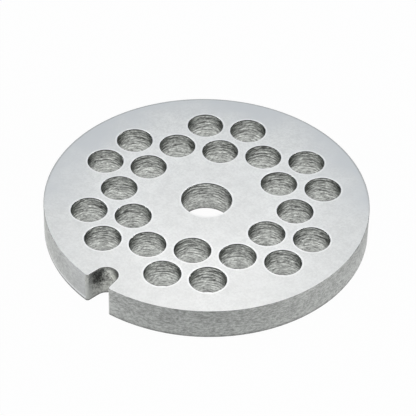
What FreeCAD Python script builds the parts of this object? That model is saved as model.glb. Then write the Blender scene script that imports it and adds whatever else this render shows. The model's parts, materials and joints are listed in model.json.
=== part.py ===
"""Meat grinder plate: one flat disc of tool steel, ground on both faces.

The disc sits in the mouth of a grinder head. A round bore in its middle guides the stud on the end of the
auger, a keyway notch in its rim stops it turning, and a field of straight drilled holes lets the meat through
while a knife sweeps the upper face. It is a single turned, drilled and milled piece with no other parts.

Frame: millimetres, +Z up. The origin is on the bore's axis, on the lower face. The upper face is the cutting
face, and the keyway notch opens towards -Y.
"""
import FreeCAD
import Part
import math
import os

# Blank
PLATE_DIAMETER = 70.0
PLATE_THICKNESS = 7.2
RIM_EDGE_BREAK = 0.2  # chamfer turned on both edges of the rim

# Bore for the auger's stud
BORE_DIAMETER = 11.0
BORE_EDGE_BREAK = 0.1  # chamfer on both ends of the bore

# Field of drilled holes, on a lattice of equal triangles with one of its axes through the notch.
# The faces are ground after drilling, so the holes keep the sharp edges that they cut with.
HOLE_DIAMETER = 7.9
WEB_BETWEEN_HOLES = 1.7  # thinnest metal left between two neighbouring holes
HUB_LAND = 5.0  # least undrilled metal around the bore
RIM_LAND = 4.0  # least undrilled metal inside the rim

# Keyway notch in the rim, open towards -Y, with a round inner end
NOTCH_WIDTH = 5.0  # across its round end
NOTCH_DEPTH = 5.4  # from the rim's circle to the deepest point of the round end
NOTCH_FLARE_ANGLE = 7.0  # degrees that each flank leans outwards, so that the mouth is wider than the end
NOTCH_CORNER_RADIUS = 0.6  # rounding of the two upright corners of its mouth

NODE = "grinder_plate"
FULL_TURN = 360.0
LATTICE_ANGLE = math.radians(60)  # between two neighbouring axes of the lattice
CUTTER_OVERRUN = 1.0  # how far a cutter runs past the metal that it cuts
UP = FreeCAD.Vector(0, 0, 1)
CENTRE = FreeCAD.Vector(0, 0, 0)


def turned_blank():
    """The disc as it leaves the lathe: its half section turned once about the bore's axis."""
    rim = PLATE_DIAMETER / 2
    bore = BORE_DIAMETER / 2
    top = PLATE_THICKNESS
    section = [
        (bore, BORE_EDGE_BREAK),
        (bore + BORE_EDGE_BREAK, 0),
        (rim - RIM_EDGE_BREAK, 0),
        (rim, RIM_EDGE_BREAK),
        (rim, top - RIM_EDGE_BREAK),
        (rim - RIM_EDGE_BREAK, top),
        (bore + BORE_EDGE_BREAK, top),
        (bore, top - BORE_EDGE_BREAK),
    ]
    corners = [FreeCAD.Vector(radius, 0, height) for radius, height in section]
    outline = Part.makePolygon(corners + corners[:1])
    return Part.Face(outline).revolve(CENTRE, UP, FULL_TURN)


def hole_centres():
    """The lattice points whose holes leave the hub's land and the rim's land whole."""
    pitch = HOLE_DIAMETER + WEB_BETWEEN_HOLES
    nearest = BORE_DIAMETER / 2 + HUB_LAND + HOLE_DIAMETER / 2
    furthest = PLATE_DIAMETER / 2 - RIM_LAND - HOLE_DIAMETER / 2
    towards_notch = FreeCAD.Vector(0, -pitch, 0)
    across = FreeCAD.Vector(pitch * math.sin(LATTICE_ANGLE), -pitch * math.cos(LATTICE_ANGLE), 0)
    steps = math.ceil(PLATE_DIAMETER / pitch)
    lattice = [
        towards_notch * row + across * column
        for row in range(-steps, steps + 1)
        for column in range(-steps, steps + 1)
    ]
    return [centre for centre in lattice if nearest <= centre.Length <= furthest]


def drills():
    """One straight cutter for each hole of the field."""
    length = PLATE_THICKNESS + 2 * CUTTER_OVERRUN
    start = FreeCAD.Vector(0, 0, -CUTTER_OVERRUN)
    return [Part.makeCylinder(HOLE_DIAMETER / 2, length, centre + start, UP) for centre in hole_centres()]


def mirrored(point):
    """The same point on the other side of the plane through the bore's axis and the notch."""
    return FreeCAD.Vector(-point.x, point.y, point.z)


def notch_cutter():
    """The notch's plan, from its round end out through its rounded mouth, raised through the plate."""
    rim = PLATE_DIAMETER / 2
    half = NOTCH_WIDTH / 2
    corner = NOTCH_CORNER_RADIUS
    flare = math.radians(NOTCH_FLARE_ANGLE)
    down = UP * -CUTTER_OVERRUN
    end_middle = FreeCAD.Vector(0, NOTCH_DEPTH - half - rim, 0)
    into_metal = FreeCAD.Vector(math.cos(flare), math.sin(flare), 0)
    to_mouth = into_metal.cross(UP)

    # A mouth corner is an arc that touches the flank on one side and the rim's circle on the other, so its
    # middle lies one corner radius into the metal from the flank and one inside the rim.
    beside = end_middle + into_metal * (half + corner)
    lead = beside.dot(to_mouth)
    middle = beside + to_mouth * (math.sqrt(lead**2 - beside.Length**2 + (rim - corner) ** 2) - lead)
    outwards = FreeCAD.Vector(middle).normalize()
    deepest = end_middle + FreeCAD.Vector(0, half, 0) + down
    flank_inner = end_middle + into_metal * half + down
    flank_outer = middle - into_metal * corner + down
    corner_crest = middle + (outwards - into_metal).normalize() * corner + down
    at_rim = middle + outwards * corner + down
    outside = FreeCAD.Vector(at_rim.x, -rim - CUTTER_OVERRUN, -CUTTER_OVERRUN)

    edges = [
        Part.LineSegment(outside, at_rim),
        Part.Arc(at_rim, corner_crest, flank_outer),
        Part.LineSegment(flank_outer, flank_inner),
        Part.Arc(flank_inner, deepest, mirrored(flank_inner)),
        Part.LineSegment(mirrored(flank_inner), mirrored(flank_outer)),
        Part.Arc(mirrored(flank_outer), mirrored(corner_crest), mirrored(at_rim)),
        Part.LineSegment(mirrored(at_rim), mirrored(outside)),
        Part.LineSegment(mirrored(outside), outside),
    ]
    plan = Part.Wire([edge.toShape() for edge in edges])
    return Part.Face(plan).extrude(UP * (PLATE_THICKNESS + 2 * CUTTER_OVERRUN))


def grinder_plate():
    """The finished plate: the blank, drilled and notched."""
    return turned_blank().cut(drills() + [notch_cutter()])


os.makedirs("parts", exist_ok=True)
plate = grinder_plate()
solid = plate.Solids[0]
solid.exportStep(os.path.join("parts", NODE + ".step"))
print(NODE, "solids", len(plate.Solids), "valid", solid.isValid(), "holes", len(hole_centres()),
      "volume mm3", round(solid.Volume, 1))
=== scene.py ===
"""Meat grinder plate: the drilled and ground plate with its tool marks, set on a pale studio floor.

The plate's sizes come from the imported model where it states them. Everything is in metres in the model's
own frame: the origin is on the bore's axis at the lower face, +Z is up, and the keyway notch opens
towards -Y.
"""
import json
import math

import bmesh
import bpy
from bpy.props import FloatProperty, FloatVectorProperty, IntProperty, PointerProperty
from mathutils import Matrix, Vector, noise


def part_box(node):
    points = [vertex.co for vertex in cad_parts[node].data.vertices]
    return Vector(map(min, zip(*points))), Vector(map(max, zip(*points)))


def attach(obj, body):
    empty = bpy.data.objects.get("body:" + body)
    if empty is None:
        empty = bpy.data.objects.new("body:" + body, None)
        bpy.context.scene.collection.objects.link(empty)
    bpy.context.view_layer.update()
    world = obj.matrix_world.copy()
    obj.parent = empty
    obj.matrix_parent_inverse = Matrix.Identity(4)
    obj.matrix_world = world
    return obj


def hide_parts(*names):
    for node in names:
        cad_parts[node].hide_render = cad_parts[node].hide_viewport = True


bl_info = {
    "name": "Meat Grinder Plate",
    "version": (1, 0, 0),
    "blender": (4, 5, 0),
    "location": "View3D > Sidebar > Grinder Plate",
    "description": "Models a drilled and ground meat grinder plate and the studio around it",
    "category": "Add Mesh",
}

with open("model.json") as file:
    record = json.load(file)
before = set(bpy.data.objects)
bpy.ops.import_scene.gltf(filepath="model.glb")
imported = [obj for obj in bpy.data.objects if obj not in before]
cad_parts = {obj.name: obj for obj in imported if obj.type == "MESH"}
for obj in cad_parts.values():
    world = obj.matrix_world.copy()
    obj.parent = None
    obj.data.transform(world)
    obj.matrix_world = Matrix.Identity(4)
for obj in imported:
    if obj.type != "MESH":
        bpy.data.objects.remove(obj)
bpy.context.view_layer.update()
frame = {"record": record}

NODE = "grinder_plate"
BODY = "root"
PLATE_LOW, PLATE_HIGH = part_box(NODE)
MOUNTS = {mount["name"]: mount for mount in frame["record"]["mounts"]}
MM = 0.001
UP = Vector((0, 0, 1))
FULL_TURN = 2 * math.pi
QUARTER_TURN = math.pi / 2
LATTICE_ANGLE = math.radians(60)  # between two neighbouring axes of the lattice of holes
SHARP = math.radians(60)  # an edge that turns by more than this gets rounded
LEVEL = 0.999  # a face whose normal rises by more than this is level
WELD = 1e-7  # vertices closer than this are the same point
FLAT = 1e-6  # heights that differ by less than this are the same face
WORN_CORNER = 0.3  # a worn edge's middle lies this share of its width from the sharp corner
MARKS_FADE = 0.4 * MM  # over this height the tool marks fade in from a hole's edges
FOOT_FADE = 1.3  # they fade in this much faster from the lower edge
FACE_FINISH, RIM_FINISH, WALL_FINISH, NOTCH_FINISH = range(4)

# Colours and places that a user would not change
MARGIN_SHADE = (0.728, 0.745, 0.755)  # colour of the painted shade on the ground face's margin
SHADED_SIDE = (-0.63, 0.77, 0)  # the face's margin is painted in shade on this side of the bore
HIGHLIGHT_RING = (0.94, 0.945, 0.935)  # colour of the painted highlight round the holes and the notch
SMOOTH_LEFT_RIM = (0.362, 0.37, 0.374)  # the rim's smooth, lighter tone left of the notch
STAIN = (-2.6 * MM, -32.0 * MM, 5.3 * MM)  # the middle of the dark stain on the notch's flank
WALL_TINT = (0.38, 0.38, 0.38, 1)  # reflection of the drilled walls at a glancing view
WHITE = (1, 1, 1, 1)
FLOOR_HALF = 3.0  # from the plate's middle to the floor's edge
FLOOR_WHITE = 0.975  # how near to white the floor shows

# Each lamp: the studio's colour that it takes, its name, place, width, height and power
LAMPS = (
    ("softbox", "rear_softbox", (0.0, 0.2, 0.42), 0.2, 0.2, 0.18),
    ("softbox", "rear_low_softbox", (0.0, 0.22, 0.28), 0.2, 0.2, 0.074),
    ("softbox", "rear_spot", (0.0, 0.15, 0.22), 0.06, 0.06, 0.022),
    ("side_strip", "left_strip", (-0.4, 0.0, 0.03), 0.5, 0.05, 1.6),
    ("side_strip", "right_strip", (0.4, 0.0, 0.03), 0.5, 0.05, 1.0),
    ("front_strip", "left_front_strip", (-0.3, -0.3, 0.03), 0.4, 0.05, 0.52),
    ("front_strip", "right_front_strip", (0.3, -0.3, 0.03), 0.4, 0.05, 0.85),
)


class PlateSizes(bpy.types.PropertyGroup):
    """Sizes of the plate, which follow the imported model."""

    rim_radius: FloatProperty(
        name="Rim radius", description="Radius of the turned rim",
        default=MOUNTS["rim"]["dims"]["r_mm"] * MM, unit="LENGTH",
    )
    thickness: FloatProperty(
        name="Thickness", description="Distance between the two ground faces",
        default=PLATE_HIGH.z - PLATE_LOW.z, unit="LENGTH",
    )
    bore_radius: FloatProperty(
        name="Bore radius", description="Radius of the bore for the auger's stud",
        default=MOUNTS["bore"]["dims"]["r_mm"] * MM, unit="LENGTH",
    )
    hole_radius: FloatProperty(
        name="Hole radius", description="Radius of a drilled hole", default=3.95 * MM, unit="LENGTH",
    )
    pitch: FloatProperty(
        name="Pitch", description="Distance between the axes of neighbouring holes",
        default=9.6 * MM, unit="LENGTH",
    )
    hub_radius: FloatProperty(
        name="Hub radius", description="No hole's axis lies nearer the bore's axis than this",
        default=14.0 * MM, unit="LENGTH",
    )
    field_radius: FloatProperty(
        name="Field radius", description="No hole's axis lies further from the bore's axis than this",
        default=27.0 * MM, unit="LENGTH",
    )
    notch_width: FloatProperty(
        name="Notch width", description="Width of the keyway notch across its round end",
        default=5.0 * MM, unit="LENGTH",
    )
    notch_flare: FloatProperty(
        name="Notch flare", description="How far each flank of the notch leans outwards to its mouth",
        default=math.radians(7), subtype="ANGLE",
    )
    notch_depth: FloatProperty(
        name="Notch depth", description="From the rim's circle to the deepest point of the round end",
        default=5.4 * MM, unit="LENGTH",
    )
    notch_corner: FloatProperty(
        name="Notch corner", description="Radius of the two upright corners of the notch's mouth",
        default=0.6 * MM, unit="LENGTH",
    )
    rim_break: FloatProperty(
        name="Rim edge break", description="Width of the broken edge round the rim and the notch",
        default=0.1 * MM, unit="LENGTH",
    )
    hole_break: FloatProperty(
        name="Hole edge break", description="Width of the worn edge round a hole or the bore",
        default=0.05 * MM, unit="LENGTH",
    )
    # The ring is a painted highlight.
    highlight_width: FloatProperty(
        name="Highlight width", description="Width of the brighter ring of the face round a hole",
        default=0.42 * MM, unit="LENGTH",
    )
    hole_marks: FloatProperty(
        name="Hole tool marks", description="Depth of the drill's wavy ridges in a hole's wall",
        default=0.05 * MM, unit="LENGTH",
    )
    bore_marks: FloatProperty(
        name="Bore tool marks", description="Depth of the finer ridges in the bore's wall",
        default=0.03 * MM, unit="LENGTH",
    )
    hole_feed: FloatProperty(
        name="Hole feed", description="Spacing of the drill's ridges in a hole's wall",
        default=1.15 * MM, unit="LENGTH",
    )
    bore_feed: FloatProperty(
        name="Bore feed", description="Spacing of the ridges in the bore's wall",
        default=0.75 * MM, unit="LENGTH",
    )
    # The dull band is painted shade.
    shade_depth: FloatProperty(
        name="Shade depth", description="Height of the dull band just inside a hole's edge",
        default=0.5 * MM, unit="LENGTH",
    )
    hole_segments: IntProperty(
        name="Hole segments", description="Sides of a drilled hole", default=60, min=12,
    )
    hole_rings: IntProperty(
        name="Hole rings", description="Rows of faces down the wall of a hole or the bore",
        default=46, min=4,
    )
    bore_segments: IntProperty(
        name="Bore segments", description="Sides of the bore", default=112, min=12,
    )
    rim_segments: IntProperty(
        name="Rim segments", description="Sides of the whole rim", default=320, min=24,
    )


def colour(name, value, description, most=1):
    """A colour that the panel shows."""
    return FloatVectorProperty(
        name=name, description=description, default=value, subtype="COLOR", size=3, min=0, max=most,
    )


class PlateColours(bpy.types.PropertyGroup):
    """Colours of the plate's finishes and of the floor."""

    face: colour("Ground face", (0.786, 0.793, 0.78), "Surface ground steel")
    rim: colour("Turned rim", (0.368, 0.377, 0.364), "Matt turned steel of the rim")
    hole: colour("Hole wall", (0.614, 0.632, 0.605), "Drilled steel of the hole walls")
    # The groove colour is also the dark colour of the painted shade on the walls, the notch and the rim.
    groove: colour("Groove", (0.06, 0.061, 0.058), "Dark bottoms of the drill's grooves")
    notch: colour("Notch wall", (0.29, 0.293, 0.275), "Milled steel of the notch")
    floor: colour("Floor", (0.9, 0.9, 0.9), "Studio floor")


class Studio(bpy.types.PropertyGroup):
    """Where the camera stands and how the plate is lit."""

    azimuth: FloatProperty(
        name="Azimuth", description="The camera's direction round the plate, from -Y towards +X",
        default=math.radians(39.306), subtype="ANGLE",
    )
    elevation: FloatProperty(
        name="Elevation", description="The camera's height above the horizon",
        default=math.radians(40.813), subtype="ANGLE",
    )
    roll: FloatProperty(
        name="Roll", description="How far the camera leans to its right",
        default=math.radians(1.455), subtype="ANGLE",
    )
    distance: FloatProperty(
        name="Distance", description="From the camera to the middle of the upper face, along its view",
        default=0.48573, unit="LENGTH",
    )
    side_step: FloatProperty(
        name="Side step", description="How far the camera stands to its right of the plate's middle",
        default=0.2744 * MM, unit="LENGTH",
    )
    rise: FloatProperty(
        name="Rise", description="How far the camera stands above the plate's middle, across its view",
        default=-1.82 * MM, unit="LENGTH",
    )
    lens: FloatProperty(
        name="Lens", description="Focal length in millimetres", default=195.69, min=1, unit="CAMERA",
    )
    softbox: colour("Softbox", (1.0, 0.95, 0.92), "Colour of the softboxes behind the plate", 2)
    side_strip: colour(
        "Side strip", (0.985, 0.965, 0.972), "Colour of the low strip lamps beside the plate", 2,
    )
    front_strip: colour(
        "Front strip", (1.0, 0.98, 0.945), "Colour of the low strip lamps before the plate", 2,
    )
    sky: colour("Sky", (0.89, 1.03, 1.15), "Colour of the faint light from all round", 2)
    sky_strength: FloatProperty(
        name="Sky strength", description="Strength of the faint light from all round",
        default=0.3, min=0,
    )


# Shader maths


class Value:
    """A shader socket that Python's arithmetic works on."""

    def __init__(self, shader, socket):
        self.shader = shader
        self.socket = socket

    def math(self, operation, *others):
        """A Math node that takes this value first."""
        inputs = dict(enumerate((self, *others)))
        return self.shader.node("ShaderNodeMath", {"operation": operation}, inputs)

    def __add__(self, other):
        return self.math("ADD", other)

    def __sub__(self, other):
        return self.math("SUBTRACT", other)

    def __mul__(self, other):
        return self.math("MULTIPLY", other)

    __radd__ = __add__
    __rmul__ = __mul__

    def __rsub__(self, other):
        return self.math("MULTIPLY_ADD", -1.0, other)


class Shader:
    """A material, or the world, under construction."""

    def __init__(self, owner):
        self.owner = owner
        owner.use_nodes = True
        self.tree = owner.node_tree
        self.tree.nodes.clear()

    def node(self, kind, settings=None, inputs=None, output=0):
        """Adds a node: its settings first, then the values or links of its sockets."""
        made = self.tree.nodes.new(kind)
        for name, value in (settings or {}).items():
            setattr(made, name, value)
        for name, value in (inputs or {}).items():
            if isinstance(value, Value):
                self.tree.links.new(value.socket, made.inputs[name])
            else:
                made.inputs[name].default_value = value
        return None if output is None else Value(self, made.outputs[output])

    def vector(self, operation, first, second=(0, 0, 0), output="Value"):
        """A Vector Math node on one or two vectors."""
        return self.node("ShaderNodeVectorMath", {"operation": operation}, {0: first, 1: second}, output)

    def place(self, scale=(1, 1, 1), location=(0, 0, 0)):
        """The surface's place on the plate, in metres times scale."""
        point = self.node("ShaderNodeTexCoord", output="Object")
        inputs = {"Vector": point, "Scale": scale, "Location": location}
        return self.node("ShaderNodeMapping", {}, inputs)

    def coordinate(self, axis):
        """How far the surface's place lies along X, Y or Z, in metres."""
        return self.node("ShaderNodeSeparateXYZ", {}, {"Vector": self.place()}, axis)

    def along(self, direction):
        """How far the surface's place lies from the bore's axis in a direction, in metres."""
        return self.vector("DOT_PRODUCT", self.place(), direction)

    def off_axis(self):
        """How far the surface's place lies from the bore's axis, in metres."""
        return self.vector("LENGTH", self.place(scale=(1, 1, 0)))

    def attribute(self, name):
        """A number that the mesh keeps at its vertices."""
        return self.node("ShaderNodeAttribute", {"attribute_name": name}, output="Fac")

    def grain(self, size, detail=3.0, roughness=0.6, stretch=(1, 1, 1), distortion=0.0):
        """Noise whose features are about size metres wide, stretched along the axes."""
        inputs = {
            "Vector": self.place(tuple(1 / (size * share) for share in stretch)),
            "Scale": 1.0, "Detail": detail, "Roughness": roughness, "Distortion": distortion,
        }
        return self.node("ShaderNodeTexNoise", {"noise_dimensions": "3D"}, inputs)

    def span(self, value, low, high, to_low=0.0, to_high=1.0):
        """Takes value from one range to another and holds it there."""
        settings = {"clamp": True, "interpolation_type": "LINEAR"}
        inputs = {"Value": value, "From Min": low, "From Max": high, "To Min": to_low, "To Max": to_high}
        return self.node("ShaderNodeMapRange", settings, inputs)

    def fade(self, value, low, high, amount=1.0):
        """The amount where value is low, falling to 0 where it is high."""
        return self.span(value, low, high, amount, 0.0)

    def arcs(self, height, spacing, wander, width):
        """Thin dark lines at even heights that wander as they go round: 1 on a line and 0 between."""
        drift = self.grain(2.4 * MM, detail=2.0) - 0.5
        shake = self.grain(0.8 * MM, detail=2.0) - 0.5
        turns = height * (1 / spacing) + (drift + shake * 0.4) * (wander / spacing)
        return self.fade(turns.math("PINGPONG", 0.5), 0.0, width)

    def notch_edge(self, sizes):
        """1 at the notch's edge on the face, fading to 0 a little way off it."""
        half = sizes.notch_width / 2
        end_middle = sizes.notch_depth - half - sizes.rim_radius
        place = self.vector("MULTIPLY", self.place(location=(0, -end_middle, 0)), (1, 1, 0), "Vector")
        mouth = self.node("ShaderNodeSeparateXYZ", {}, {"Vector": place}, "Y").math("LESS_THAN", 0.0)
        lean = (math.cos(sizes.notch_flare), -math.sin(sizes.notch_flare), 0)
        to_flank = self.vector("DOT_PRODUCT", self.vector("ABSOLUTE", place, output="Vector"), lean)
        to_end = self.vector("LENGTH", place)
        gap = mouth * to_flank + (1 - mouth) * to_end - half
        return self.fade(gap, 0.1 * MM, 0.4 * MM)

    @staticmethod
    def tint(value):
        """A colour with its alpha, or the link that gives one."""
        return value if isinstance(value, Value) else (*value, 1.0)

    def scaled(self, colour, amount):
        """A colour that is made lighter or darker by a value."""
        inputs = {0: tuple(colour), "Scale": amount}
        return self.node("ShaderNodeVectorMath", {"operation": "SCALE"}, inputs)

    def blend(self, factor, first, second):
        """Mixes two colours."""
        settings = {"data_type": "RGBA", "blend_type": "MIX"}
        inputs = {0: factor, 6: self.tint(first), 7: self.tint(second)}
        return self.node("ShaderNodeMix", settings, inputs, output=2)

    def bump(self, height, depth):
        """Dents the surface by height times depth in metres."""
        return self.node("ShaderNodeBump", {}, {"Height": height, "Distance": depth, "Strength": 1.0})

    def surface(self, **inputs):
        """Ends the material in one Principled surface. Underscores in socket names stand for spaces."""
        named = {name.replace("_", " "): value for name, value in inputs.items()}
        self.finish(self.node("ShaderNodeBsdfPrincipled", {}, named))
        return self.owner

    def finish(self, shader, kind="ShaderNodeOutputMaterial"):
        """Links a surface or background to the output."""
        self.node(kind, {}, {"Surface": shader}, output=None)


# Finishes of the steel


def ground_face(colours, sizes):
    """Surface ground steel: satin and nearly even, with painted shade towards one margin and painted
    highlights round its openings.
    """
    steel = Shader(bpy.data.materials.new("ground_face"))
    cloud = steel.grain(2.5 * MM, detail=3.0)
    broad = steel.grain(12 * MM, detail=2.0)
    fine = steel.grain(0.5 * MM, detail=4.0, roughness=0.75)
    aside = steel.along(SHADED_SIDE)
    radius = steel.off_axis()

    # Faint grinding marks, and painted light and shade: a little darker on the side away from the shaded
    # margin, most at its edge, and a little lighter over the drilled field
    marks = steel.span(cloud * 0.3 + fine * 0.7, 0.42, 0.58, 0.93, 1.07)
    far_side = steel.span(aside, -28 * MM, -18 * MM, 0.995, 1.022)
    halves = steel.span(aside, -10 * MM, 10 * MM, 0.985, 1.02)
    field = steel.span(radius, 10 * MM, sizes.hub_radius)
    field = field * steel.fade(radius, 22 * MM, sizes.field_radius)
    base = steel.scaled(colours.face, marks * far_side * halves * (1 + 0.04 * field))

    # Painted shade on the face's margin, and the dark line between it and the rim
    uneven = radius + (broad - 0.5) * (20 * MM)
    shaded_margin = steel.span(uneven, 25 * MM, 35 * MM) * steel.span(aside, -6 * MM, 2 * MM)
    base = steel.blend(shaded_margin, base, MARGIN_SHADE)
    edge = steel.span(radius, 34.5 * MM, 34.8 * MM) * steel.span(aside, -4 * MM, 10 * MM, 0.0, 0.42)
    base = steel.blend(edge, base, Vector(colours.rim) * 0.6)

    # The rings round the holes and the line round the notch are painted highlights
    rings = steel.span(steel.attribute("edge_wear"), 0.0, 0.45)
    base = steel.blend(rings.math("MAXIMUM", steel.notch_edge(sizes)), base, HIGHLIGHT_RING)
    return steel.surface(
        Base_Color=base, Metallic=0.9, Roughness=steel.span(fine, 0.3, 0.7, 0.36, 0.46),
        Normal=steel.bump(fine, 0.004 * MM),
    )


def turned_rim(colours):
    """Matt turned steel, mottled all round the rim, with painted shade towards its upper edge and painted
    contact shadow at its foot.
    """
    steel = Shader(bpy.data.materials.new("turned_rim"))
    cloud = steel.grain(0.5 * MM, detail=5.0, roughness=0.8, stretch=(1.5, 1.5, 0.8))
    broad = steel.grain(2 * MM, detail=3.0)
    lines = steel.grain(0.3 * MM, detail=3.0, stretch=(5, 5, 0.7))
    across = steel.coordinate("X")
    height = steel.coordinate("Z")

    mottling = steel.span(cloud * 0.65 + lines * 0.25 + broad * 0.1, 0.42, 0.58, 0.62, 1.38)
    # Painted shade darkens the rim towards its upper edge, and painted contact shadow darkens its foot
    rising = steel.span(height, 1 * MM, 6 * MM, 0.885, 0.722)
    lower_edge = steel.span(height, 0.2 * MM, 0.7 * MM, 0.6, 1.0)
    base = steel.scaled(colours.rim, mottling * rising * lower_edge)

    # Left of the notch the rim is smooth and lighter, and has a light line above its dark lower edge,
    # which is painted contact shadow
    smooth_left = steel.span(across, -16 * MM, -4 * MM, 0.0, 0.5) * steel.fade(across, -3 * MM, 0.0)
    base = steel.blend(smooth_left, base, SMOOTH_LEFT_RIM)
    left = steel.span(across, -22 * MM, -12 * MM, 0.3, 1.0) * steel.fade(across, -2.7 * MM, -2.2 * MM)
    line = steel.span(height, 0.4 * MM, 0.6 * MM) * steel.fade(height, 0.9 * MM, 1.1 * MM)
    foot = steel.fade(height, 0.2 * MM, 0.5 * MM)
    base = steel.blend(line * left * 0.6, base, Vector(SMOOTH_LEFT_RIM) * 1.7)
    base = steel.blend(foot * left * 0.7, base, colours.groove)
    return steel.surface(
        Base_Color=base, Metallic=0.55, Roughness=steel.span(cloud, 0.3, 0.7, 0.5, 0.62),
        Normal=steel.bump(cloud * 0.5 + lines * 0.5, 0.03 * MM),
    )


def drilled_wall(colours):
    """Rough drilled steel with dark grooves and bright ridges, and painted shade under its upper edge and
    towards its foot.
    """
    steel = Shader(bpy.data.materials.new("drilled_wall"))
    streak = steel.grain(0.3 * MM, detail=4.0, roughness=0.7, stretch=(6.0, 6.0, 0.7), distortion=0.3)
    fine = steel.grain(0.45 * MM, detail=4.0, roughness=0.75, stretch=(1.3, 1.3, 0.8))
    rough = streak * 0.55 + fine * 0.45
    height = steel.coordinate("Z")

    # Dark and bright streaks, a little darker in the bore
    bore = steel.span(steel.off_axis(), 6 * MM, 8 * MM, 0.91, 1.0)
    base = steel.scaled(colours.hole, steel.span(rough, 0.41, 0.59, 0.36, 1.62) * bore)

    # Thin lines that break off in patches and are weaker towards the foot
    patch = steel.grain(1.8 * MM, detail=2.0) * 0.6 + fine * 0.4
    lines = steel.arcs(height, spacing=0.72 * MM, wander=1.2 * MM, width=0.22)
    lines = lines * steel.span(patch, 0.4, 0.52) * steel.span(height, 1.5 * MM, 4.5 * MM, 0.4, 1.0)

    # Everything that is dark: lines, grooves, and painted shade in a ragged band under the upper edge,
    # over the lower wall and at the foot
    groove = steel.attribute("groove")
    ragged = steel.attribute("edge_wear") + (fine - 0.5) * 1.2
    band = steel.span(ragged, -0.15, -0.7, 0.0, 0.92)
    shade = steel.fade(height, 0.2 * MM, 2.8 * MM, 0.42)
    foot = steel.fade(height, 0.1 * MM, 0.4 * MM, 0.6)
    for dark in (lines * 0.8, groove * 0.85, band, shade, foot):
        base = steel.blend(dark, base, colours.groove)
    return steel.surface(
        Base_Color=base, Metallic=1.0, Specular_Tint=WALL_TINT,
        Roughness=steel.span(fine, 0.3, 0.7, 0.26, 0.36),
        Normal=steel.bump(rough - lines * 0.4, 0.075 * MM),
    )


def milled_notch(colours):
    """Dark mottled steel of the notch's walls."""
    steel = Shader(bpy.data.materials.new("milled_notch"))
    cloud = steel.grain(1.1 * MM, detail=5.0, roughness=0.75)
    fine = steel.grain(0.4 * MM, detail=4.0, roughness=0.75)
    light = steel.span(cloud * 0.5 + fine * 0.5, 0.4, 0.6)
    across = steel.coordinate("X")
    inwards = steel.coordinate("Y")
    height = steel.coordinate("Z")

    # The flanks are dark and mottled, and the round end is brighter
    flank = steel.span(light, 0.0, 1.0, 0.35, 1.6) * steel.span(height, 1.5 * MM, 4 * MM, 1.3, 1.0)
    end_tone = steel.span(cloud, 0.44, 0.56) * 0.6 + light * 0.4
    end_tone = steel.span(end_tone, 0.0, 1.0, 1.0, 2.7) * steel.span(height, 0.5 * MM, 3.5 * MM, 0.72, 1.0)
    round_end = steel.span(inwards, -31.6 * MM, -30.4 * MM)
    base = steel.blend(round_end, steel.scaled(colours.notch, flank), steel.scaled(colours.notch, end_tone))

    # Painted shadow: a dark patch right of the round end's middle, wider towards the upper face
    patch = across + (height - 4.2 * MM) * 0.5 + (cloud + fine - 1) * (3 * MM)
    patch = steel.span(patch, 0.2 * MM, 1.8 * MM, 0.0, 0.92) * steel.span(inwards, -31.4 * MM, -30.9 * MM)
    base = steel.blend(patch, base, colours.groove)

    # The stain on the left flank
    reach = steel.vector("DISTANCE", steel.place(), STAIN)
    reach = reach + (cloud - 0.5) * (6 * MM) + (fine - 0.5) * (9 * MM)
    base = steel.blend(steel.fade(reach, 0.5 * MM, 2.9 * MM, 0.9), base, Vector(colours.groove) * 0.4)

    # Painted shade along the upper edge, a mouth in the rim's own colour made a little lighter by a
    # painted highlight, and painted contact shadow at the foot
    upper_edge = steel.span(height, 6.2 * MM, 7.1 * MM, 0.0, 0.7)
    mouth = steel.fade(inwards, -34.4 * MM, -33.0 * MM, 0.85)
    mouth = mouth * steel.span(height, 3 * MM, 6 * MM, 1.0, 0.4)
    foot = steel.fade(height, 0.2 * MM, 0.5 * MM, 0.75)
    base = steel.blend(upper_edge, base, colours.groove)
    base = steel.blend(mouth, base, Vector(colours.rim) * 1.1)
    base = steel.blend(foot, base, colours.groove)
    return steel.surface(
        Base_Color=base, Metallic=0.6, Roughness=0.5,
        Normal=steel.bump(cloud * 0.6 + fine * 0.4, 0.07 * MM),
    )


# Shape of the plate


def hole_centres(sizes):
    """The axes of the drilled holes: a lattice of equal triangles between the hub and the field's edge."""
    towards_notch = Vector((0, -sizes.pitch))
    across = Vector((math.sin(LATTICE_ANGLE), -math.cos(LATTICE_ANGLE))) * sizes.pitch

    # The lattice is slanted, so it takes twice the steps of the field's radius to cover the field
    steps = math.ceil(sizes.field_radius / sizes.pitch) * 2
    lattice = [
        towards_notch * row + across * column
        for row in range(-steps, steps + 1)
        for column in range(-steps, steps + 1)
    ]
    return [centre for centre in lattice if sizes.hub_radius < centre.length < sizes.field_radius]


def wave(place, across, along, shift):
    """Smooth noise at a place in millimetres, with its own rate across the hole and along it."""
    return noise.noise(Vector((place.x * across, place.y * across, place.z * along)) + shift)


def drill_lines(place, shift, spacing, wander, width):
    """1 along the grooves of one cutting edge, which wander as they go round, and 0 between them."""
    drift = wave(place, 0.45, 0.5, shift)
    shake = wave(place, 1.6, 0.9, shift)
    turns = (place.z + wander * (drift + 0.35 * shake)) / spacing
    return max(0, 1 - abs(turns % 1 - 0.5) / width)


def tool_marks(place, seed, spacing):
    """How deep the drill cuts a wall at a place in millimetres: 1 in the deepest groove, 0 between."""
    shift = Vector((seed * 3.1, seed * 1.7, seed))
    strong = drill_lines(place, shift, spacing, wander=spacing * 0.8, width=0.18)
    weak = drill_lines(place, -shift, spacing * 0.54, wander=spacing * 0.7, width=0.25)
    torn = wave(place, 0.5, 0.9, -shift)
    tear = wave(place, 1.1, 2.2, shift)

    # Both grooves come and go, and are shallower near the foot of the wall
    shallow = min(1, 0.35 + max(0, place.z - 1.5) / 4.5)
    return min(1, max(0, strong * (0.9 + 1.5 * torn)) + max(0, weak * (0.4 + 1.3 * tear))) * shallow


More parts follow.
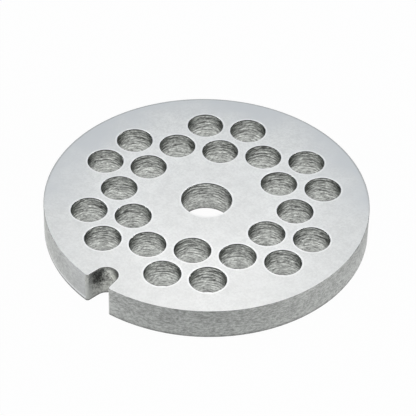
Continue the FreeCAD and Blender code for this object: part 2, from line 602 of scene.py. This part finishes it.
def extrude_to(bm, vertex, point):
    """Draws a straight edge from a vertex to a new one."""
    made = bmesh.ops.extrude_vert_indiv(bm, verts=[vertex])["verts"][0]
    made.co = point
    return made


def spin_arc(bm, vertex, centre, angle, steps):
    """Draws an arc from a vertex about an upright axis, and returns its last vertex."""
    made = bmesh.ops.spin(
        bm, geom=[vertex], cent=centre, axis=UP, dvec=(0, 0, 0), angle=angle, steps=steps,
        use_merge=False, use_normal_flip=False, use_duplicate=False,
    )
    return [item for item in made["geom_last"] if isinstance(item, bmesh.types.BMVert)][0]


def lined_hole(target, centre, radius, sizes, segments, marks, feed):
    """Adds the surface of one hole: the rings of both faces round it, its worn edges and marked wall."""
    edge = sizes.hole_break
    top = sizes.thickness
    corner = edge * WORN_CORNER
    ring = radius + edge + sizes.highlight_width
    profile = [
        (ring, top),
        (radius + edge, top),
        (radius + corner, top - corner),
        (radius, top - edge),
        (radius, edge),
        (radius + corner, corner),
        (radius + edge, 0),
        (ring, 0),
    ]
    bm = bmesh.new()
    highlight_and_shade = bm.verts.layers.float.new("edge_wear")
    groove = bm.verts.layers.float.new("groove")
    line = bmesh.ops.create_vert(bm, co=(ring, 0, top))["vert"]
    for out, height in profile[1:]:
        line.append(extrude_to(bm, line[-1], (out, 0, height)))
    wall_edge = bm.edges.get(line[3:5])
    bmesh.ops.subdivide_edges(bm, edges=[wall_edge], cuts=sizes.hole_rings - 1)
    bmesh.ops.spin(
        bm, geom=[*bm.verts, *bm.edges], cent=(0, 0, 0), axis=UP, dvec=(0, 0, 0), angle=FULL_TURN,
        steps=segments, use_merge=True, use_normal_flip=False, use_duplicate=False,
    )

    def on_wall(height):
        """Whether a height lies between the two worn edges."""
        return edge - FLAT < height < top - edge + FLAT

    for face in bm.faces:
        face.material_index = WALL_FINISH if on_wall(face.calc_center_median().z) else FACE_FINISH

    # The attribute is 1 on the worn edges and 0 on the rings, which sets the face's painted highlight
    # there, and below 0 in the band of painted shade under the upper edge
    seed = centre.x / sizes.pitch * 7.3 + centre.y / sizes.pitch * 11.9
    for vertex in bm.verts:
        height = vertex.co.z
        out = Vector((vertex.co.x, vertex.co.y, 0))
        vertex[highlight_and_shade] = 1.0 if out.length < radius + edge + WELD else 0.0
        if on_wall(height):
            from_edge = min(height * FOOT_FADE, top - height) - edge
            vertex[groove] = tool_marks(vertex.co / MM, seed, feed / MM)
            vertex[highlight_and_shade] = -max(0, 1 - (top - height - edge) / sizes.shade_depth)
            vertex.co += out.normalized() * marks * min(1, from_edge / MARKS_FADE) * vertex[groove]
    bmesh.ops.translate(bm, verts=bm.verts, vec=(centre.x, centre.y, 0))
    shaped = bpy.data.meshes.new("hole")
    bm.to_mesh(shaped)
    bm.free()
    target.from_mesh(shaped)
    bpy.data.meshes.remove(shaped)


def outline(bm, sizes):
    """The closed edge loop of the rim and the notch on the lower face."""
    rim = sizes.rim_radius
    half = sizes.notch_width / 2
    corner = sizes.notch_corner
    end_middle = Vector((0, sizes.notch_depth - rim - half, 0))
    outwards = Vector((math.cos(sizes.notch_flare), math.sin(sizes.notch_flare), 0))
    along = outwards.cross(UP)

    # A mouth corner touches the flank and the rim's circle, so its middle is one radius inside both
    beside = end_middle + outwards * (half + corner)
    lead = beside.dot(along)
    reach = math.sqrt(lead**2 - beside.length_squared + (rim - corner) ** 2) - lead
    middle = beside + along * reach
    bearing = math.atan2(middle.y, middle.x)
    corner_turn = math.pi + bearing - sizes.notch_flare
    end_steps = sizes.rim_segments // 20
    corner_steps = sizes.rim_segments // 32
    rim_steps = sizes.rim_segments // 2
    start = bmesh.ops.create_vert(bm, co=end_middle + Vector((0, half, 0)))["vert"][0]
    end_last = spin_arc(bm, start, end_middle, sizes.notch_flare - QUARTER_TURN, end_steps)
    flank_last = extrude_to(bm, end_last, middle - outwards * corner)
    corner_last = spin_arc(bm, flank_last, middle, corner_turn, corner_steps)
    spin_arc(bm, corner_last, (0, 0, 0), QUARTER_TURN - bearing, rim_steps)
    bmesh.ops.mirror(
        bm, geom=[*bm.verts, *bm.edges], matrix=Matrix.Identity(4), merge_dist=FLAT, axis="X",
    )
    bmesh.ops.remove_doubles(bm, verts=bm.verts, dist=FLAT)


def rim_wall(bm, sizes):
    """The upright wall of the rim and the notch."""
    outline(bm, sizes)
    edges = list(bm.edges)
    raised = bmesh.ops.extrude_edge_only(bm, edges=edges)["geom"]
    vertices = [item for item in raised if isinstance(item, bmesh.types.BMVert)]
    bmesh.ops.translate(bm, verts=vertices, vec=(0, 0, sizes.thickness))
    for face in bm.faces:
        on_rim = all(vertex.co.xy.length > sizes.rim_radius - FLAT for vertex in face.verts)
        face.material_index = RIM_FINISH if on_rim else NOTCH_FINISH


def fill_face(bm, height, side):
    """Fills one flat face between the rim and the holes' rings."""
    open_edges = [
        edge for edge in bm.edges
        if len(edge.link_faces) == 1 and all(abs(vertex.co.z - height) < FLAT for vertex in edge.verts)
    ]
    bmesh.ops.triangle_fill(
        bm, edges=open_edges, use_beauty=True, use_dissolve=False, normal=(0, 0, side),
    )


def break_edges(bm, sizes):
    """Rounds the edges between the wall of the rim and notch and the two faces."""
    sharp = [
        edge for edge in bm.edges
        if len(edge.link_faces) == 2 and edge.calc_face_angle() > SHARP
        and abs(edge.verts[0].co.z - edge.verts[1].co.z) < FLAT
    ]
    made = bmesh.ops.bevel(
        bm, geom=sharp, affect="EDGES", offset_type="OFFSET", offset=sizes.rim_break, segments=2,
        profile=0.5, material=-1, clamp_overlap=False,
    )
    for face in made["faces"]:
        outer = face.calc_center_median().xy.length > sizes.rim_radius - sizes.rim_break
        face.material_index = RIM_FINISH if outer else NOTCH_FINISH


class GRINDER_OT_plate(bpy.types.Operator):
    """Model the drilled plate with its notch and tool marks"""

    bl_idname = "grinder.plate"
    bl_label = "Plate"

    def execute(self, context):
        sizes = context.scene.plate_sizes
        hole = (sizes.hole_radius, sizes, sizes.hole_segments, sizes.hole_marks, sizes.hole_feed)
        bore = (sizes.bore_radius, sizes, sizes.bore_segments, sizes.bore_marks, sizes.bore_feed)
        bm = bmesh.new()
        bm.verts.layers.float.new("edge_wear")
        bm.verts.layers.float.new("groove")
        rim_wall(bm, sizes)
        for centre in hole_centres(sizes):
            lined_hole(bm, centre, *hole)
        lined_hole(bm, Vector((0, 0)), *bore)
        fill_face(bm, sizes.thickness, 1)
        fill_face(bm, 0, -1)
        bmesh.ops.recalc_face_normals(bm, faces=bm.faces)
        break_edges(bm, sizes)
        self.shade(bm)
        mesh = bpy.data.meshes.new("plate")
        bm.to_mesh(mesh)
        bm.free()
        open_count = self.count_open(mesh)
        if open_count:
            raise RuntimeError(f"the plate's mesh has {open_count} open edges")
        plate = bpy.data.objects.new("plate", mesh)
        context.scene.collection.objects.link(plate)
        colours = context.scene.plate_colours
        mesh.materials.append(ground_face(colours, sizes))
        for finish in (turned_rim, drilled_wall, milled_notch):
            mesh.materials.append(finish(colours))
        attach(plate, BODY)
        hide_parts(NODE)
        return {"FINISHED"}

    @staticmethod
    def shade(bm):
        """Smooths the walls, and keeps the flat faces flat up to their borders."""
        for face in bm.faces:
            face.smooth = True
        for edge in bm.edges:
            level = [abs(face.normal.z) > LEVEL for face in edge.link_faces]
            edge.smooth = level[0] == level[1]

    @staticmethod
    def count_open(mesh):
        """How many edges of a mesh don't have exactly two faces."""
        uses = {}
        for polygon in mesh.polygons:
            for key in polygon.edge_keys:
                uses[key] = uses.get(key, 0) + 1
        return sum(1 for count in uses.values() if count != 2)


# Studio


def add_camera(context, studio, sizes):
    """The camera: it looks at the middle of the upper face from the front right, and leans a little."""
    turn = Matrix.Rotation(studio.azimuth, 3, "Z")
    ahead = turn @ Vector((0, math.cos(studio.elevation), -math.sin(studio.elevation)))
    right = turn @ Vector((1, 0, 0))
    above = right.cross(ahead)
    lean = Matrix.Rotation(-studio.roll, 3, ahead)
    right = lean @ right
    above = lean @ above
    data = bpy.data.cameras.new("camera")
    data.lens = studio.lens
    data.clip_start = 10 * MM
    camera = bpy.data.objects.new("camera", data)
    target = Vector((0, 0, sizes.thickness))
    place = target - ahead * studio.distance + right * studio.side_step + above * studio.rise
    facing = Matrix((right, above, -ahead)).transposed().to_4x4()
    camera.matrix_world = Matrix.Translation(place) @ facing
    context.scene.collection.objects.link(camera)
    context.scene.camera = camera


def add_lamp(context, name, place, width, height, power, colour):
    """A rectangular lamp aimed at the plate. Its place counts rightwards, away from the camera and up."""
    turn = Matrix.Rotation(context.scene.plate_studio.azimuth, 3, "Z")
    place = turn @ Vector(place)
    data = bpy.data.lights.new(name, "AREA")
    data.shape = "RECTANGLE"
    data.size = width
    data.size_y = height
    data.energy = power
    data.color = colour
    lamp = bpy.data.objects.new(name, data)
    lamp.location = place
    lamp.rotation_euler = (-place).to_track_quat("-Z", "Y").to_euler()
    lamp.visible_camera = False
    context.scene.collection.objects.link(lamp)


def add_floor(context, colours):
    """A wide floor that shows white to the camera and in reflections, and keeps the plate's shadow."""
    bm = bmesh.new()
    bmesh.ops.create_grid(bm, x_segments=1, y_segments=1, size=FLOOR_HALF)
    mesh = bpy.data.meshes.new("floor")
    bm.to_mesh(mesh)
    bm.free()
    floor = bpy.data.objects.new("floor", mesh)
    context.scene.collection.objects.link(floor)
    paint = Shader(bpy.data.materials.new("floor"))
    seen, glossy, through = (
        paint.node("ShaderNodeLightPath", output=ray)
        for ray in ("Is Camera Ray", "Is Glossy Ray", "Is Transmission Ray")
    )
    white = paint.node("ShaderNodeEmission", {}, {"Color": WHITE, "Strength": 1.0})
    matt = paint.node("ShaderNodeBsdfDiffuse", {}, {"Color": (*colours.floor, 1)})
    shown = seen.math("MAXIMUM", glossy.math("MAXIMUM", through))
    paint.finish(paint.node("ShaderNodeMixShader", {}, {0: shown * FLOOR_WHITE, 1: matt, 2: white}))
    mesh.materials.append(paint.owner)


def add_world(context, studio):
    """Faint cool light from all round, which the camera sees as white."""
    world = bpy.data.worlds.new("studio")
    context.scene.world = world
    sky = Shader(world)
    seen = sky.node("ShaderNodeLightPath", output="Is Camera Ray")
    light = {"Color": (*studio.sky, 1), "Strength": studio.sky_strength}
    fill = sky.node("ShaderNodeBackground", {}, light)
    white = sky.node("ShaderNodeBackground", {}, {"Color": WHITE, "Strength": 1.0})
    both = sky.node("ShaderNodeMixShader", {}, {0: seen, 1: fill, 2: white})
    sky.finish(both, "ShaderNodeOutputWorld")


class GRINDER_OT_studio(bpy.types.Operator):
    """Set the plate on a pale floor under soft studio light, with the camera in front of it"""

    bl_idname = "grinder.studio"
    bl_label = "Studio"

    def execute(self, context):
        scene = context.scene
        add_camera(context, scene.plate_studio, scene.plate_sizes)
        add_floor(context, scene.plate_colours)
        add_world(context, scene.plate_studio)
        for group, *lamp in LAMPS:
            add_lamp(context, *lamp, getattr(scene.plate_studio, group))
        scene.view_settings.view_transform = "Standard"
        return {"FINISHED"}


# Panel and registration


class GRINDER_PT_panel(bpy.types.Panel):
    """The plate's sizes, colours and operators in the 3D view's sidebar"""

    bl_idname = "GRINDER_PT_panel"
    bl_label = "Grinder Plate"
    bl_space_type = "VIEW_3D"
    bl_region_type = "UI"
    bl_category = "Grinder Plate"

    def draw(self, context):
        scene = context.scene
        for operator in OPERATORS:
            self.layout.operator(operator.bl_idname)
        for group in (scene.plate_sizes, scene.plate_colours, scene.plate_studio):
            box = self.layout.box()
            for name in group.__annotations__:
                box.prop(group, name)


OPERATORS = (GRINDER_OT_studio, GRINDER_OT_plate)
GROUPS = (PlateSizes, PlateColours, Studio)


def register():
    """Adds the add-on's classes and settings."""
    for item in (*GROUPS, *OPERATORS, GRINDER_PT_panel):
        bpy.utils.register_class(item)
    bpy.types.Scene.plate_sizes = PointerProperty(type=PlateSizes)
    bpy.types.Scene.plate_colours = PointerProperty(type=PlateColours)
    bpy.types.Scene.plate_studio = PointerProperty(type=Studio)


def unregister():
    """Takes the add-on's classes and settings away."""
    del bpy.types.Scene.plate_sizes
    del bpy.types.Scene.plate_colours
    del bpy.types.Scene.plate_studio
    for item in reversed((*GROUPS, *OPERATORS, GRINDER_PT_panel)):
        bpy.utils.unregister_class(item)


def main():
    """Builds the studio and the plate."""
    register()
    bpy.ops.grinder.studio()
    bpy.ops.grinder.plate()


if __name__ == "__main__":
    main()
